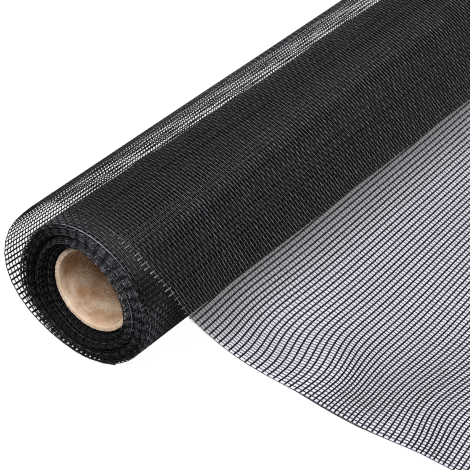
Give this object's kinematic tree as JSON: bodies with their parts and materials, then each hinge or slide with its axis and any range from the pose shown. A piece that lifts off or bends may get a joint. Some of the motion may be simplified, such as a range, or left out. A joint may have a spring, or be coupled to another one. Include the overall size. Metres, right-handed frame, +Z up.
{
  "type": "roll of insect screen",
  "caption": "Roll of fine black woven insect screen on a cardboard tube, its outer turn slack and its loose end laid out flat beside the roll.",
  "frame": {"origin": "on the surface the part lies on, under the centre of its bounding box", "axes": "+Y along the roll's axis, away from the near end that shows the core; +X towards the loose end that is laid out; +Z up"},
  "size_m": [0.2434, 0.615, 0.056],
  "materials": {
    "cardboard": "spirally wound grey-brown paperboard, cut square, matt and slightly fibrous",
    "screen_mesh": "black PVC-coated fibreglass yarn, plain woven and heat set, satin sheen"
  },
  "bodies": {
    "root": {"core": "cardboard", "wound_screen": "screen_mesh", "loose_screen": "screen_mesh"}
  },
  "joints": []
}
